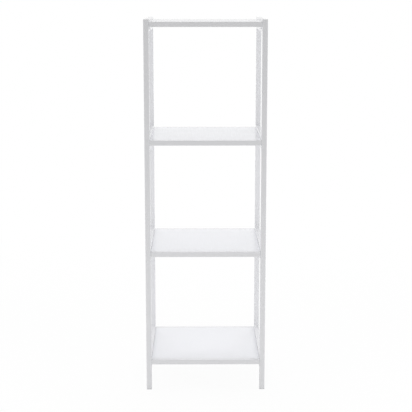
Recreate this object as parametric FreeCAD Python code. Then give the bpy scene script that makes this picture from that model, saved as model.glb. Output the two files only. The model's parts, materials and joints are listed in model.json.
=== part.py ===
import FreeCAD, Part
import math
import os

# Bathroom shelf with four tiers, in millimetres. +Z is up and the front faces -Y.
# The origin is on the floor below the middle of the frame.

# Overall frame
frame_width = 340.0
frame_depth = 330.0
frame_height = 1055.0

# Square tube of the posts, the lower tube of the bars and the taller tube of the side rails
tube_side = 15.0
tube_wall = 1.2
tube_corner = 1.2
bore_corner_least = 0.3
bar_height = 14.0
rail_height = 34.0

# Tiers, from the lowest to the top one. The rails stand above the panels as a low side lip.
tier_count = 4
lowest_panel_top = 89.5
top_bay_extra = 8.0
panel_drop = 6.5

# Shelf panels, flush with the tops of the front and rear bars
panel_thickness = 12.0
panel_side_gap = 0.15
panel_end_gap = 0.1
panel_corner = 0.8
panel_edge = 0.3

# Bolts that hold a bar between two posts. The head sits inside the post on its inner wall.
bolt_diameter = 5.0
bolt_grip = 16.0
bolt_head_diameter = 9.5
bolt_head_height = 2.8
bolt_head_edge = 0.8
bolt_socket_sides = 6
bolt_socket_flats = 3.0
bolt_socket_depth = 1.6
bolt_clearance = 0.3
access_clearance = 0.75

# Threaded plugs in the bar ends. They stand proud of the tube, which leaves a fine seam at the post.
plug_length = 18.0
plug_fit = 0.2
plug_corner = 0.6
joint_seam = 0.7

# Flush caps that snap into the access holes
cap_fit = 0.3
cap_edge = 0.3
cap_barb_grip = 0.3
cap_barb_gap = 0.1
cap_barb_length = 2.5
cap_tip_taper = 1.0

# Tabs below the panels, bent from strip and welded to the rails
tab_wall = 1.5
tab_reach = 18.0
tab_drop = 10.0
tab_width = 20.0
tab_bend = 1.0
tab_corner = 3.0
tab_inset = 60.0

# Screws from below through the tabs into the panels
screw_diameter = 3.5
screw_bite = 8.0
screw_clearance = 0.3
screw_head_diameter = 7.0
screw_head_height = 2.2
screw_head_edge = 0.9
screw_slot_width = 0.9
screw_slot_length = 3.6
screw_slot_depth = 1.1
screw_tip_room = 0.8

# Feet and top caps, both pushed into the post ends
foot_height = 4.0
foot_edge = 1.0
foot_plug_length = 22.0
top_cap_height = 2.0
top_cap_edge = 0.8
top_cap_room = 0.5
end_plug_wall = 2.0

# Sizes that follow from the ones above
inner_half_width = frame_width / 2 - tube_side
inner_half_depth = frame_depth / 2 - tube_side
post_half_width = (frame_width - tube_side) / 2
post_half_depth = (frame_depth - tube_side) / 2
bore_side = tube_side - 2 * tube_wall
bore_corner = max(tube_corner - tube_wall, bore_corner_least)
plug_side = bore_side - 2 * plug_fit
plug_height = bar_height - 2 * tube_wall - 2 * plug_fit
bolt_drop = bar_height / 2
bolt_hole = bolt_diameter + 2 * bolt_clearance
access_hole = bolt_head_diameter + 2 * access_clearance
barb_radius = access_hole / 2 + cap_barb_grip
top_cap_plug_length = panel_drop + bolt_drop - top_cap_height - barb_radius - top_cap_room
bolt_seat = inner_half_width + tube_wall
screw_hole = screw_diameter + 2 * screw_clearance
screw_offset = inner_half_width - (tab_wall + tab_reach) / 2
tab_offset = inner_half_depth - tab_inset
top_panel_top = frame_height - panel_drop
tier_pitch = (top_panel_top - lowest_panel_top - top_bay_extra) / (tier_count - 1)
panel_tops = [lowest_panel_top + tier_pitch * tier for tier in range(tier_count - 1)] + [top_panel_top]
side_signs = {"left": -1, "right": 1}
end_signs = {"front": -1, "rear": 1}
axis_x = FreeCAD.Vector(1, 0, 0)
axis_y = FreeCAD.Vector(0, 1, 0)
axis_z = FreeCAD.Vector(0, 0, 1)
origin = FreeCAD.Vector(0, 0, 0)
quarter_turn = 90.0
half_turn = 180.0
full_turn = 360.0
level_tolerance = 0.1
fold_reach = tab_wall / 2


def edges_along(shape, axis):
    # Straight edges that run along one axis
    found = []
    for edge in shape.Edges:
        span = edge.Vertexes[-1].Point.sub(edge.Vertexes[0].Point)
        if span.Length > 0 and abs(abs(span.dot(axis)) - span.Length) < Part.Precision.confusion():
            found.append(edge)
    return found


def edges_at_height(shape, height):
    # Edges that lie flat at one height
    found = []
    for edge in shape.Edges:
        box = edge.BoundBox
        if max(abs(box.ZMin - height), abs(box.ZMax - height)) < level_tolerance:
            found.append(edge)
    return found


def upright_block(size_x, size_y, height, corner):
    # A block on the floor plane with its four upright edges rounded
    block = Part.makeBox(size_x, size_y, height, FreeCAD.Vector(-size_x / 2, -size_y / 2, 0))
    return block.makeFillet(corner, edges_along(block, axis_z))


def upright_tube(size_x, size_y, length):
    outer = upright_block(size_x, size_y, length, tube_corner)
    bore = upright_block(size_x - 2 * tube_wall, size_y - 2 * tube_wall, length, bore_corner)
    return outer.cut(bore)


def rod(diameter, length, start, direction):
    return Part.makeCylinder(diameter / 2, length, start, direction)


def make_post(side, end):
    # A post with an access hole in its outer wall and a bolt hole in its inner wall at each tier
    length = frame_height - foot_height - top_cap_height
    post = upright_tube(tube_side, tube_side, length)
    post.translate(FreeCAD.Vector(side * post_half_width, end * post_half_depth, foot_height))
    for panel_top in panel_tops:
        middle = FreeCAD.Vector(side * post_half_width, end * post_half_depth, panel_top - bolt_drop)
        post = post.cut(rod(access_hole, tube_side, middle, axis_x * side))
        post = post.cut(rod(bolt_hole, tube_side, middle, axis_x * -side))
    return post


def make_rail(side, panel_top):
    # A side rail that butts against the front and rear posts
    rail = upright_tube(tube_side, rail_height, 2 * inner_half_depth)
    rail.rotate(origin, axis_x, -quarter_turn)
    middle_height = panel_top + panel_drop - rail_height / 2
    rail.translate(FreeCAD.Vector(side * post_half_width, -inner_half_depth, middle_height))
    return rail


def make_bar(end, panel_top):
    # A bar between two posts, short of each by the seam
    length = 2 * (inner_half_width - joint_seam)
    bar = upright_tube(bar_height, tube_side, length)
    bar.rotate(origin, axis_y, quarter_turn)
    bar.translate(FreeCAD.Vector(-length / 2, end * post_half_depth, panel_top - bar_height / 2))
    return bar


def make_plug(side, end, panel_top):
    plug = upright_block(plug_height, plug_side, plug_length, plug_corner)
    plug = plug.cut(rod(bolt_hole, plug_length, origin, axis_z))
    plug.rotate(origin, axis_y, -quarter_turn * side)
    plug.translate(FreeCAD.Vector(side * inner_half_width, end * post_half_depth, panel_top - bolt_drop))
    return plug


def make_bolt(side, end, panel_top):
    # A button head bolt with a hexagon socket, drawn along Z with the head up
    head = rod(bolt_head_diameter, bolt_head_height, origin, axis_z)
    head = head.makeFillet(bolt_head_edge, edges_at_height(head, bolt_head_height))
    socket_step = full_turn / bolt_socket_sides
    socket_corner = axis_x * (bolt_socket_flats / 2 / math.cos(math.radians(socket_step / 2)))
    turns = [FreeCAD.Rotation(axis_z, socket_step * turn) for turn in range(bolt_socket_sides)]
    corners = [turn.multVec(socket_corner) for turn in turns]
    corners.append(corners[0])
    socket = Part.Face(Part.makePolygon(corners)).extrude(axis_z * bolt_socket_depth)
    socket.translate(axis_z * (bolt_head_height - bolt_socket_depth))
    shank = rod(bolt_diameter, bolt_grip + tube_wall, origin, axis_z * -1)
    bolt = head.cut(socket).fuse(shank).removeSplitter()
    bolt.rotate(origin, axis_y, quarter_turn * side)
    bolt.translate(FreeCAD.Vector(side * bolt_seat, end * post_half_depth, panel_top - bolt_drop))
    return bolt


def make_hole_cap(side, end, panel_top):
    # A turned outline: a flush disc, then a barb behind the post wall
    disc_radius = access_hole / 2 - cap_fit
    shoulder = tube_wall + cap_barb_gap
    tip = shoulder + cap_barb_length
    outline = [
        FreeCAD.Vector(0, 0, 0),
        FreeCAD.Vector(disc_radius - cap_edge, 0, 0),
        FreeCAD.Vector(disc_radius, 0, -cap_edge),
        FreeCAD.Vector(disc_radius, 0, -shoulder),
        FreeCAD.Vector(barb_radius, 0, -shoulder),
        FreeCAD.Vector(barb_radius - cap_tip_taper, 0, -tip),
        FreeCAD.Vector(0, 0, -tip),
        FreeCAD.Vector(0, 0, 0),
    ]
    cap = Part.Face(Part.makePolygon(outline)).revolve(origin, axis_z, full_turn)
    cap.rotate(origin, axis_y, quarter_turn * side)
    cap.translate(FreeCAD.Vector(side * frame_width / 2, end * post_half_depth, panel_top - bolt_drop))
    return cap


def make_tab(side, end, panel_top):
    # A bent tab: one leg lies against the rail, the other carries the panel
    outline = [
        FreeCAD.Vector(0, 0, 0),
        FreeCAD.Vector(tab_reach, 0, 0),
        FreeCAD.Vector(tab_reach, 0, -tab_wall),
        FreeCAD.Vector(tab_wall, 0, -tab_wall),
        FreeCAD.Vector(tab_wall, 0, -tab_drop),
        FreeCAD.Vector(0, 0, -tab_drop),
        FreeCAD.Vector(0, 0, 0),
    ]
    tab = Part.Face(Part.makePolygon(outline)).extrude(axis_y * tab_width)
    tab.translate(axis_y * (-tab_width / 2))
    folds = edges_along(tab, axis_y)
    outer_fold = [edge for edge in folds if edge.CenterOfMass.Length < fold_reach]
    tab = tab.makeFillet(tab_bend + tab_wall, outer_fold)
    folds = edges_along(tab, axis_y)
    inner_corner = FreeCAD.Vector(tab_wall, 0, -tab_wall)
    inner_fold = [edge for edge in folds if edge.CenterOfMass.sub(inner_corner).Length < fold_reach]
    tab = tab.makeFillet(tab_bend, inner_fold)
    uprights = [edge for edge in edges_along(tab, axis_z) if edge.CenterOfMass.x > tab_reach - tab_wall]
    tab = tab.makeFillet(tab_corner, uprights)
    hole_start = FreeCAD.Vector(inner_half_width - screw_offset, 0, -tab_drop)
    tab = tab.cut(rod(screw_hole, tab_drop, hole_start, axis_z))
    tab.rotate(origin, axis_z, quarter_turn + quarter_turn * side)
    tab.translate(FreeCAD.Vector(side * inner_half_width, end * tab_offset, panel_top - panel_thickness))
    return tab


def make_screw(side, end, panel_top):
    # A pan head screw with a cross recess, head down
    head = rod(screw_head_diameter, screw_head_height, origin, axis_z)
    head.translate(axis_z * -screw_head_height)
    head = head.makeFillet(screw_head_edge, edges_at_height(head, -screw_head_height))
    for length, width in ((screw_slot_length, screw_slot_width), (screw_slot_width, screw_slot_length)):
        slot_start = FreeCAD.Vector(-length / 2, -width / 2, -screw_head_height)
        head = head.cut(Part.makeBox(length, width, screw_slot_depth, slot_start))
    shank = rod(screw_diameter, tab_wall + screw_bite, origin, axis_z)
    screw = head.fuse(shank).removeSplitter()
    under_tab = panel_top - panel_thickness - tab_wall
    screw.translate(FreeCAD.Vector(side * screw_offset, end * tab_offset, under_tab))
    return screw


def make_panel(panel_top):
    # A board with eased edges and a pilot hole above each tab
    size_x = 2 * (inner_half_width - panel_side_gap)
    size_y = 2 * (inner_half_depth - panel_end_gap)
    panel = upright_block(size_x, size_y, panel_thickness, panel_corner)
    rims = edges_at_height(panel, 0) + edges_at_height(panel, panel_thickness)
    panel = panel.makeFillet(panel_edge, rims)
    for side in side_signs.values():
        for end in end_signs.values():
            start = FreeCAD.Vector(side * screw_offset, end * tab_offset, 0)
            panel = panel.cut(rod(screw_hole, screw_bite + screw_tip_room, start, axis_z))
    panel.translate(axis_z * (panel_top - panel_thickness))
    return panel


def end_piece(height, edge, plug_length_inside):
    # A square end piece drawn foot up: an eased flange with a hollow plug above it
    flange = upright_block(tube_side, tube_side, height, tube_corner)
    flange = flange.makeFillet(edge, edges_at_height(flange, 0))
    plug = upright_block(plug_side, plug_side, plug_length_inside, plug_corner)
    hollow_side = plug_side - 2 * end_plug_wall
    plug = plug.cut(upright_block(hollow_side, hollow_side, plug_length_inside, plug_corner))
    plug.translate(axis_z * height)
    return flange.fuse(plug).removeSplitter()


def make_foot(side, end):
    foot = end_piece(foot_height, foot_edge, foot_plug_length)
    foot.translate(FreeCAD.Vector(side * post_half_width, end * post_half_depth, 0))
    return foot


def make_top_cap(side, end):
    cap = end_piece(top_cap_height, top_cap_edge, top_cap_plug_length)
    cap.rotate(origin, axis_x, half_turn)
    cap.translate(FreeCAD.Vector(side * post_half_width, end * post_half_depth, frame_height))
    return cap


def at_each_corner(make_piece, panel_top):
    # The same small piece at the four corners of one tier
    pieces = []
    for side in side_signs.values():
        for end in end_signs.values():
            pieces.append(make_piece(side, end, panel_top))
    return Part.makeCompound(pieces)


def save(shape, node):
    shape.exportStep("parts/" + node + ".step")


os.makedirs("parts", exist_ok=True)
for side_name, side_sign in side_signs.items():
    for end_name, end_sign in end_signs.items():
        corner_name = end_name + "_" + side_name
        save(make_post(side_sign, end_sign), "post_" + corner_name)
        save(make_foot(side_sign, end_sign), "foot_" + corner_name)
        save(make_top_cap(side_sign, end_sign), "cap_" + corner_name)
for tier, panel_height in enumerate(panel_tops, 1):
    tier_name = "tier" + str(tier) + "_"
    for side_name, side_sign in side_signs.items():
        save(make_rail(side_sign, panel_height), tier_name + side_name + "_rail")
    for end_name, end_sign in end_signs.items():
        save(make_bar(end_sign, panel_height), tier_name + end_name + "_bar")
    save(make_panel(panel_height), tier_name + "panel")
    save(at_each_corner(make_plug, panel_height), tier_name + "bar_plugs")
    save(at_each_corner(make_bolt, panel_height), tier_name + "bar_bolts")
    save(at_each_corner(make_hole_cap, panel_height), tier_name + "hole_caps")
    save(at_each_corner(make_tab, panel_height), tier_name + "panel_tabs")
    save(at_each_corner(make_screw, panel_height), tier_name + "panel_screws")
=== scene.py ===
import json
import math

import bpy
import numpy as np
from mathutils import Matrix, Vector


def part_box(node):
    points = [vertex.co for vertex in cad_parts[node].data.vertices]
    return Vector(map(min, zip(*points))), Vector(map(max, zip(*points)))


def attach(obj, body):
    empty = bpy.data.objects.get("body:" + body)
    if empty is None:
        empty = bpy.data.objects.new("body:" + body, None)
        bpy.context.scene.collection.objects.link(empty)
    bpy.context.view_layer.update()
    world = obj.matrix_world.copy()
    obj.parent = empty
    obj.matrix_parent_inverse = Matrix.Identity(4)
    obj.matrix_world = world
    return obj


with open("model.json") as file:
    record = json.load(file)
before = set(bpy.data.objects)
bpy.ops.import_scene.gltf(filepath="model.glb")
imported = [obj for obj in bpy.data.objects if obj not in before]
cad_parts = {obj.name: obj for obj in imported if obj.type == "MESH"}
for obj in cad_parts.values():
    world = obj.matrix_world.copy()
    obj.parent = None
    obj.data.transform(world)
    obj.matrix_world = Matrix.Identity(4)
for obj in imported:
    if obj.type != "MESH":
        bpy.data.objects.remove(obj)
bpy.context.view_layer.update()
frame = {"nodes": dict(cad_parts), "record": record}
scene = bpy.context.scene
scene.view_settings.view_transform = "Standard"
print("shelf frame loaded:", len(frame["nodes"]), "nodes")

tiers = ("tier1", "tier2", "tier3", "tier4")  # lowest tier first
sideNames = ("left", "right")
plainWhite = (1.0, 1.0, 1.0, 1.0)


def facing(place, aim):  # rotation of a camera or lamp that looks from its place at the aim
    return (Vector(aim) - Vector(place)).to_track_quat("-Z", "Y").to_euler()


def between(limits, share):  # the first limit at share 0, the second at share 1
    low, high = limits
    return low + (high - low) * share


def weighed(shares, first, second):
    return shares[0] * first + shares[1] * second


class Wire:  # one socket, with the operators that the finishes use
    def __init__(self, tree, socket):
        self.tree = tree
        self.socket = socket

    def maths(self, operation, first, second):
        node = self.tree.nodes.new("ShaderNodeMath")
        node.operation = operation
        for entry, value in zip(node.inputs, (first, second)):
            if isinstance(value, Wire):
                self.tree.links.new(value.socket, entry)
            else:
                entry.default_value = value
        return Wire(self.tree, node.outputs[0])

    def __add__(self, other):
        return self.maths("ADD", self, other)

    def __mul__(self, other):
        return self.maths("MULTIPLY", self, other)

    def __or__(self, other):  # the larger of two values
        return self.maths("MAXIMUM", self, other)

    __radd__ = __add__
    __rmul__ = __mul__
    __ror__ = __or__


class Nodes:  # adds nodes to one tree
    def __init__(self, tree):
        self.tree = tree

    def feed(self, entry, value):
        if isinstance(value, Wire):
            self.tree.links.new(value.socket, entry)
        else:
            entry.default_value = value

    def add(self, kind, settings=None, values=None, out=0):
        node = self.tree.nodes.new(kind)
        for key, value in (settings or {}).items():
            setattr(node, key, value)
        for key, value in (values or {}).items():
            self.feed(node.inputs[key], value)
        return Wire(self.tree, node.outputs[out]) if node.outputs else None

    def spread(self, value, low, high):  # low to high becomes 0 to 1, clamped
        values = {"Value": value, "From Min": low, "From Max": high}
        return self.add("ShaderNodeMapRange", {"clamp": True}, values)


class Finish(Nodes):  # one material on Object coordinates
    def __init__(self, name, fixed):
        self.material = bpy.data.materials.new(name)
        self.material.use_nodes = True
        super().__init__(self.material.node_tree)
        self.shader = self.tree.nodes["Principled BSDF"]
        for key, value in fixed.items():
            self.shader.inputs[key].default_value = value
        self.place = self.add("ShaderNodeTexCoord", None, None, "Object")

    def noise(self, perMetre, detail):
        values = {"Vector": self.place, "Scale": perMetre, "Detail": detail}
        return self.add("ShaderNodeTexNoise", None, values, "Fac")

    def streaks(self, perMetre, detail):  # noise with its own scale on each axis
        place = self.add("ShaderNodeMapping", None, {"Vector": self.place, "Scale": perMetre})
        values = {"Vector": place, "Scale": 1.0, "Detail": detail}
        return self.add("ShaderNodeTexNoise", None, values, "Fac")

    def blend(self, share, first, second):  # inputs 6 and 7 and output 2 are the colours of the node
        values = {0: share, 6: (*first, 1.0), 7: (*second, 1.0)}
        return self.add("ShaderNodeMix", {"data_type": "RGBA"}, values, 2)

    def wear(self, colour, roughness, height, strength, distance):
        values = {"Height": height, "Strength": strength, "Distance": distance}
        bump = self.add("ShaderNodeBump", None, values)
        for key, value in (("Base Color", colour), ("Roughness", roughness), ("Normal", bump)):
            self.feed(self.shader.inputs[key], value)
        return self.material


# Camera: at the photograph's place, a little above the top tier, turned down to the shelf
cameraLook = {
    "place": (-0.0237, -3.2539, 1.1248),
    "aim": (0.0025, 0.0, 0.5081),
    "lens": 98.09,
    "sensor": 36.0,
}
cameraData = bpy.data.cameras.new("shelfCamera")
cameraData.lens = cameraLook["lens"]
cameraData.sensor_width = cameraLook["sensor"]
camera = bpy.data.objects.new("shelfCamera", cameraData)
camera.location = cameraLook["place"]
camera.rotation_euler = facing(cameraLook["place"], cameraLook["aim"])
scene.collection.objects.link(camera)
scene.camera = camera
print("camera set")


# White powder coat: a slow drift of tone, fine grain and the orange peel of baked powder
coatLook = {
    "fixed": {"IOR": 1.5},
    "white": (0.862, 0.862, 0.878),
    "thin": (0.836, 0.838, 0.856),
    "drift": (6.0, 3.0),  # cells per metre and detail, as for every noise below
    "driftSpan": (0.3, 0.7),
    "grain": (1500.0, 1.0),
    "toneShares": (0.7, 0.3),  # drift and grain
    "gloss": (0.13, 0.19),
    "glossShares": (0.6, 0.4),  # drift and grain
    "peel": (640.0, 1.5),
    "ripple": (150.0, 1.0),
    "peelShares": (0.6, 0.4),  # peel and ripple
    "peelStrength": 0.40,
    "peelDepth": 0.00012,
}


def powderCoat(name, look):
    finish = Finish(name, look["fixed"])
    drift = finish.spread(finish.noise(*look["drift"]), *look["driftSpan"])
    grain = finish.noise(*look["grain"])
    colour = finish.blend(weighed(look["toneShares"], drift, grain), look["white"], look["thin"])
    roughness = between(look["gloss"], weighed(look["glossShares"], drift, grain))
    height = weighed(look["peelShares"], finish.noise(*look["peel"]), finish.noise(*look["ripple"]))
    return finish.wear(colour, roughness, height, look["peelStrength"], look["peelDepth"])


# Gloss laminate: cool white, faint cloudiness, hairline rubbing along the depth
boardLook = {
    "fixed": {"IOR": 1.5},
    "white": (0.885, 0.890, 0.918),
    "cloud": (0.868, 0.874, 0.905),
    "clouds": (14.0, 3.0),
    "cloudSpan": (0.3, 0.7),
    "fleck": (900.0, 2.0),
    "toneShares": (0.65, 0.35),  # clouds and fleck
    "rubbing": ((420.0, 9.0, 420.0), 2.0),
    "rubbingSpan": (0.45, 0.75),
    "gloss": (0.18, 0.25),
    "glossShares": (0.5, 0.5),  # clouds and rubbing
    "wave": (26.0, 1.0),
    "waveShares": (0.9, 0.1),  # wave and fleck
    "waveStrength": 0.30,
    "waveDepth": 0.0004,
}


def glossLaminate(name, look):
    finish = Finish(name, look["fixed"])
    clouds = finish.spread(finish.noise(*look["clouds"]), *look["cloudSpan"])
    fleck = finish.noise(*look["fleck"])
    colour = finish.blend(weighed(look["toneShares"], clouds, fleck), look["white"], look["cloud"])
    rubbing = finish.spread(finish.streaks(*look["rubbing"]), *look["rubbingSpan"])
    roughness = between(look["gloss"], weighed(look["glossShares"], clouds, rubbing))
    height = weighed(look["waveShares"], finish.noise(*look["wave"]), fleck)
    return finish.wear(colour, roughness, height, look["waveStrength"], look["waveDepth"])


# Moulded plastic of the caps and feet: spark-eroded grain with a few paler specks
capLook = {
    "fixed": {"IOR": 1.47},
    "body": (0.835, 0.835, 0.848),
    "speck": (0.866, 0.866, 0.878),
    "grain": (1900.0, 2.0),
    "blotch": (60.0, 2.0),
    "speckShares": (0.5, 0.5),  # grain and blotch
    "speckSpan": (0.35, 0.65),
    "gloss": (0.42, 0.52),
    "grainStrength": 0.22,
    "grainDepth": 0.00008,
}
footLook = dict(capLook, body=(0.735, 0.735, 0.750), speck=(0.775, 0.775, 0.788), gloss=(0.48, 0.60))


def mouldedPlastic(name, look):
    finish = Finish(name, look["fixed"])
    grain = finish.noise(*look["grain"])
    specks = weighed(look["speckShares"], grain, finish.noise(*look["blotch"]))
    colour = finish.blend(finish.spread(specks, *look["speckSpan"]), look["body"], look["speck"])
    roughness = between(look["gloss"], specks)
    return finish.wear(colour, roughness, grain, look["grainStrength"], look["grainDepth"])


# Zinc plate of the bolts, plugs and screws: turning marks and a cool bloom
zincLook = {
    "fixed": {"Metallic": 1.0},
    "bright": (0.660, 0.672, 0.690),
    "dull": (0.560, 0.580, 0.610),
    "turning": ((60.0, 1400.0, 1400.0), 2.0),
    "bloom": (220.0, 3.0),
    "bloomSpan": (0.3, 0.7),
    "toneShares": (0.7, 0.3),  # bloom and turning marks
    "gloss": (0.24, 0.40),
    "glossShares": (0.5, 0.5),  # bloom and turning marks
    "markStrength": 0.20,
    "markDepth": 0.00005,
}


def zincPlate(name, look):
    finish = Finish(name, look["fixed"])
    marks = finish.streaks(*look["turning"])
    bloom = finish.spread(finish.noise(*look["bloom"]), *look["bloomSpan"])
    colour = finish.blend(weighed(look["toneShares"], bloom, marks), look["bright"], look["dull"])
    roughness = between(look["gloss"], weighed(look["glossShares"], bloom, marks))
    return finish.wear(colour, roughness, marks, look["markStrength"], look["markDepth"])


finishes = {
    "frame_coat": powderCoat("whitePowderCoat", coatLook),
    "panel_board": glossLaminate("whiteGlossLaminate", boardLook),
    "cap_plastic": mouldedPlastic("whiteCapPlastic", capLook),
    "foot_plastic": mouldedPlastic("paleFootPlastic", footLook),
    "zinc_steel": zincPlate("brightZincPlate", zincLook),
}


def dress(piece, slot):
    piece.data.materials.clear()
    piece.data.materials.append(finishes[slot])


for row in frame["record"]["subparts"]:
    dress(frame["nodes"][row["node"]], row["material_slot"])


# Weld beads between the side rails and the posts
beadLook = {
    "rings": 57,
    "round": 10,
    "endPower": 6,
    "ripplePitch": 0.0019,
    "rippleDip": 0.16,
    "fillet": (0.0021, 0.0015),  # across and rise in the corner of rail and post
    "groove": (0.0017, 0.0006),  # across and rise over the flush joint
    "grooveSunk": 0.00025,
    "cornerSpare": 0.0006,  # ends short of the tube corners
}


# A bead is an ellipse carried along a straight run. At the share s of the run and the turn t
# a point is start + s * run + swell(s) * (across * cos(t) * side + rise * sin(t) * out), where
# swell(s) = sqrt(1 - |2 s - 1| ^ endPower) * (1 - rippleDip * cos(pi * ripples * s) ^ 2)
# closes both ends and dips between the ripples of the weld.
def weldBeads(name, runs):
    starts, ends, outs, sizes = (np.array(part, float) for part in zip(*runs))
    run = ends - starts
    length = np.linalg.norm(run, axis=1)
    side = np.cross(outs, run / length[:, None])
    share = np.linspace(0.0, 1.0, beadLook["rings"])[1:-1]
    turn = np.linspace(0.0, 2.0 * math.pi, beadLook["round"], endpoint=False)
    ripples = np.round(length / beadLook["ripplePitch"])
    dip = beadLook["rippleDip"] * np.cos(math.pi * ripples[:, None] * share) ** 2
    swell = np.sqrt(1.0 - np.abs(2.0 * share - 1.0) ** beadLook["endPower"]) * (1.0 - dip)
    ellipse = (
        sizes[:, 0, None, None] * np.cos(turn)[None, :, None] * side[:, None, :]
        + sizes[:, 1, None, None] * np.sin(turn)[None, :, None] * outs[:, None, :]
    )
    middles = starts[:, None, :] + share[None, :, None] * run[:, None, :]
    rings = middles[:, :, None, :] + swell[:, :, None, None] * ellipse[:, None, :, :]
    count, ringCount, around = rings.shape[:3]
    points = np.concatenate([rings.reshape(count, -1, 3), starts[:, None], ends[:, None]], axis=1)
    here = np.arange(ringCount * around).reshape(ringCount, around)
    beyond = np.roll(here, -1, axis=1)
    quads = np.stack([here[:-1], beyond[:-1], beyond[1:], here[1:]], axis=-1).reshape(-1, 4)
    first, last = ringCount * around, ringCount * around + 1
    startFan = np.stack([np.full(around, first), beyond[0], here[0]], axis=-1)
    endFan = np.stack([np.full(around, last), here[-1], beyond[-1]], axis=-1)
    offsets = np.arange(count)[:, None, None] * points.shape[1]
    faces = (quads[None] + offsets).reshape(-1, 4).tolist()
    faces += (np.concatenate([startFan, endFan])[None] + offsets).reshape(-1, 3).tolist()
    mesh = bpy.data.meshes.new(name)
    mesh.from_pydata(points.reshape(-1, 3).tolist(), [], faces)
    mesh.polygons.foreach_set("use_smooth", np.ones(len(faces), bool))
    mesh.update()
    piece = bpy.data.objects.new(name, mesh)
    scene.collection.objects.link(piece)
    dress(piece, "frame_coat")
    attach(piece, "root")
    return piece


def railRuns(tier, sideName):  # start, end, outward direction and size of each bead of one rail
    low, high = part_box(f"{tier}_{sideName}_rail")
    spare = beadLook["cornerSpare"]
    slope = math.sqrt(0.5)  # both parts of a direction at 45 degrees
    runs = []
    for endY, along in ((low.y, -1.0), (high.y, 1.0)):
        left, right = low.x + spare, high.x - spare
        for height, lift in ((low.z, -1.0), (high.z, 1.0)):
            if lift > 0 and tier == tiers[-1]:
                continue  # flush with the post ends at the top tier
            out = (0.0, -along * slope, lift * slope)
            runs.append(((left, endY, height), (right, endY, height), out, beadLook["fillet"]))
        for face, outward in ((low.x, -1.0), (high.x, 1.0)):
            edge = face - outward * beadLook["grooveSunk"]
            bottom, top = (edge, endY, low.z + spare), (edge, endY, high.z - spare)
            runs.append((bottom, top, (outward, 0.0, 0.0), beadLook["groove"]))
    return runs


for sideName in sideNames:
    beads = weldBeads(f"rail_welds_{sideName}", [run for tier in tiers for run in railRuns(tier, sideName)])
    print(beads.name, len(beads.data.polygons), "faces")


# Stage: a white floor that keeps a faint shadow near the feet, white all round, and soft boxes
floorLook = {
    "half": 30.0,
    "cells": 12,
    "below": 0.0001,
    "paper": (0.90, 0.90, 0.90, 1.0),
    "glow": 1.0,
    "whiteShares": (0.95, 1.0),  # of plain white that the camera sees beside the feet and far off
    "fade": (0.5, 2.0),  # distances over which the share grows
}
worldLook = {
    "ambient": 0.555,  # even light on the shelf from all round
    "seen": 1.0,  # white for the camera and in the gloss
}
lampLooks = {
    "leftBox": {
        "place": (-0.9, -0.16, 0.76),
        "aim": (0.0, -0.05, 0.70),
        "size": (0.6, 1.25),
        "watts": 3.3,
    },
    "rightBox": {
        "place": (0.9, -0.16, 0.76),
        "aim": (0.0, -0.05, 0.70),
        "size": (0.6, 1.25),
        "watts": 3.3,
    },
    "rearBox": {
        "place": (0.0, 1.9, 1.5),
        "aim": (0.0, 0.0, 0.58),
        "size": (1.8, 1.5),
        "watts": 19.6,
    },
    "topBox": {
        "place": (0.0, 0.0, 2.3),
        "aim": (0.0, 0.0, 1.0),
        "size": (1.2, 1.2),
        "watts": 1.4,
    },
    "floorBox": {
        "place": (0.0, -1.15, 0.16),
        "aim": (0.0, 0.0, 0.10),
        "size": (1.5, 0.26),
        "watts": 1.2,
    },
}


def seenDirectly(nodes):  # camera, mirror and glass rays, which show the white background
    kinds = ("Is Camera Ray", "Is Glossy Ray", "Is Transmission Ray")
    rays = [nodes.add("ShaderNodeLightPath", None, None, kind) for kind in kinds]
    return rays[0] | rays[1] | rays[2]


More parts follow.
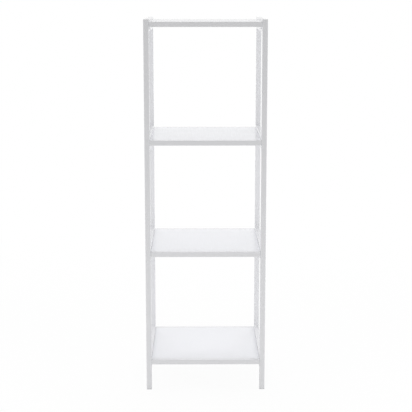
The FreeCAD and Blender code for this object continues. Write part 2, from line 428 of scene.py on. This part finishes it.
# the floor is the flat grid (x, y, -below)
span = np.linspace(-floorLook["half"], floorLook["half"], floorLook["cells"] + 1)
spanX, spanY = np.meshgrid(span, span)
floorPoints = np.stack([spanX, spanY, np.full_like(spanX, -floorLook["below"])], axis=-1)
index = np.arange(spanX.size).reshape(spanX.shape)
floorFaces = np.stack([index[:-1, :-1], index[:-1, 1:], index[1:, 1:], index[1:, :-1]], axis=-1)
floorMesh = bpy.data.meshes.new("studioFloor")
floorMesh.from_pydata(floorPoints.reshape(-1, 3).tolist(), [], floorFaces.reshape(-1, 4).tolist())
floor = bpy.data.objects.new("studioFloor", floorMesh)
scene.collection.objects.link(floor)
floorMaterial = bpy.data.materials.new("whiteFloor")
floorMaterial.use_nodes = True
floorMaterial.node_tree.nodes.clear()
floorNodes = Nodes(floorMaterial.node_tree)
floorPlace = floorNodes.add("ShaderNodeTexCoord", None, None, "Object")
distance = floorNodes.add("ShaderNodeVectorMath", {"operation": "LENGTH"}, {0: floorPlace}, "Value")
whiteShare = between(floorLook["whiteShares"], floorNodes.spread(distance, *floorLook["fade"]))
paper = floorNodes.add("ShaderNodeBsdfDiffuse", None, {"Color": floorLook["paper"]})
glow = floorNodes.add("ShaderNodeEmission", None, {"Color": plainWhite, "Strength": floorLook["glow"]})
shares = {0: whiteShare * seenDirectly(floorNodes), 1: paper, 2: glow}
mixed = floorNodes.add("ShaderNodeMixShader", None, shares)
floorNodes.add("ShaderNodeOutputMaterial", None, {"Surface": mixed})
floorMesh.materials.append(floorMaterial)

world = bpy.data.worlds.new("whiteStudio")
scene.world = world
world.use_nodes = True
world.node_tree.nodes.clear()
worldNodes = Nodes(world.node_tree)
strength = between((worldLook["ambient"], worldLook["seen"]), seenDirectly(worldNodes))
sky = worldNodes.add("ShaderNodeBackground", None, {"Color": plainWhite, "Strength": strength})
worldNodes.add("ShaderNodeOutputWorld", None, {"Surface": sky})

for lampName, look in lampLooks.items():
    lampData = bpy.data.lights.new(lampName, "AREA")
    lampData.shape = "RECTANGLE"
    lampData.size, lampData.size_y = look["size"]
    lampData.energy = look["watts"]
    lamp = bpy.data.objects.new(lampName, lampData)
    lamp.location = look["place"]
    lamp.rotation_euler = facing(look["place"], look["aim"])
    lamp.visible_glossy = False  # the gloss mirrors the white surroundings alone
    scene.collection.objects.link(lamp)
print("stage and", len(lampLooks), "lamps set")
